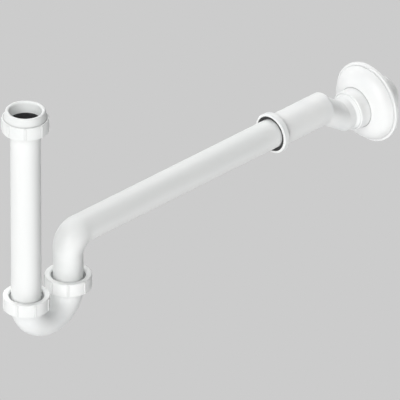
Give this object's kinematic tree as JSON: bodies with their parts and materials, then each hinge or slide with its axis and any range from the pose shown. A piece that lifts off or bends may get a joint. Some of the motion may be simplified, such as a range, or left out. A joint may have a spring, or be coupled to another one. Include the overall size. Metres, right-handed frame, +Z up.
{
  "type": "basin trap",
  "caption": "Tubular plastic basin trap: upright inlet tube with neck nut, U-bend with slip nuts, long level pipe, push-fit wall adapter with an offset, and wall rosette.",
  "frame": {"origin": "on the axis of the wall spigot, in the plane of the wall's face, where the rosette's back rests", "axes": "+Y along the spigot into the wall, +Z up along the inlet tube, +X to the right seen along +Y"},
  "size_m": [0.0894, 0.5627, 0.2804],
  "materials": {
    "white_pp": "injection-moulded and extruded white polypropylene, satin gloss",
    "black_rubber": "moulded black rubber, matt",
    "ring_pe": "natural polyethylene, matt"
  },
  "bodies": {
    "wall_adapter": {"wall_adapter": "white_pp"},
    "rosette": {"wall_rosette": "white_pp"},
    "lip_seal": {"sleeve_lip_seal": "black_rubber"},
    "outlet_pipe": {"outlet_pipe": "white_pp"},
    "outlet_seal": {"outlet_wedge_seal": "black_rubber"},
    "trap_bend": {"trap_bend": "white_pp"},
    "outlet_ring": {"outlet_slip_ring": "ring_pe"},
    "outlet_nut": {"outlet_nut": "white_pp"},
    "inlet_ring": {"inlet_slip_ring": "ring_pe"},
    "inlet_nut": {"inlet_nut": "white_pp"},
    "inlet_seal": {"inlet_wedge_seal": "black_rubber"},
    "immersion_tube": {"immersion_tube": "white_pp"},
    "tail_seal": {"tail_seal": "black_rubber"},
    "basin_nut": {"basin_nut": "white_pp"}
  },
  "joints": [
    {"name": "rosette_slide", "type": "slide", "parent": "wall_adapter", "child": "rosette", "axis": [0, 1, 0], "range_m": [-0.013, 0.012]},
    {"name": "pipe_roll", "type": "hinge", "parent": "wall_adapter", "child": "lip_seal", "pos_m": [0, -0.145, 0.0197], "axis": [0, 1, 0], "range_deg": [-90, 90]},
    {"name": "pipe_slide", "type": "slide", "parent": "lip_seal", "child": "outlet_pipe", "axis": [0, 1, 0], "range_m": [-0.025, 0.035]},
    {"name": "riser_depth", "type": "slide", "parent": "outlet_pipe", "child": "outlet_seal", "axis": [0, 0, 1], "range_m": [-0.006, 0]},
    {"name": "trap_swivel", "type": "hinge", "parent": "outlet_seal", "child": "trap_bend", "pos_m": [0, -0.4488, -0.0421], "axis": [0, 0, 1], "range_deg": [-140, 140]},
    {"name": "outlet_ring_lift", "type": "slide", "parent": "trap_bend", "child": "outlet_ring", "axis": [0, 0, 1], "range_m": [0, 0.0093]},
    {"name": "outlet_nut_turn", "type": "hinge", "parent": "outlet_ring", "child": "outlet_nut", "pos_m": [0, -0.4488, -0.0421], "axis": [0, 0, 1], "range_deg": [0, 1440]},
    {"name": "inlet_ring_lift", "type": "slide", "parent": "trap_bend", "child": "inlet_ring", "axis": [0, 0, 1], "range_m": [0, 0.0093]},
    {"name": "inlet_nut_turn", "type": "hinge", "parent": "inlet_ring", "child": "inlet_nut", "pos_m": [0, -0.5104, -0.0421], "axis": [0, 0, 1], "range_deg": [0, 1440]},
    {"name": "tube_turn", "type": "hinge", "parent": "trap_bend", "child": "inlet_seal", "pos_m": [0, -0.5104, -0.0421], "axis": [0, 0, 1], "continuous": true},
    {"name": "tube_lift", "type": "slide", "parent": "inlet_seal", "child": "immersion_tube", "axis": [0, 0, 1], "range_m": [0, 0.006]},
    {"name": "tail_seal_lift", "type": "slide", "parent": "immersion_tube", "child": "tail_seal", "axis": [0, 0, 1], "range_m": [0, 0.0093]},
    {"name": "basin_nut_turn", "type": "hinge", "parent": "tail_seal", "child": "basin_nut", "pos_m": [0, -0.5104, 0.1714], "axis": [0, 0, 1], "range_deg": [0, 1440]}
  ],
  "couplings": [
    {"joint": "outlet_ring_lift", "follows": "outlet_nut_turn", "m_per_rad": 0.00036749},
    {"joint": "inlet_ring_lift", "follows": "inlet_nut_turn", "m_per_rad": 0.00036749},
    {"joint": "tail_seal_lift", "follows": "basin_nut_turn", "m_per_rad": 0.00036749}
  ]
}
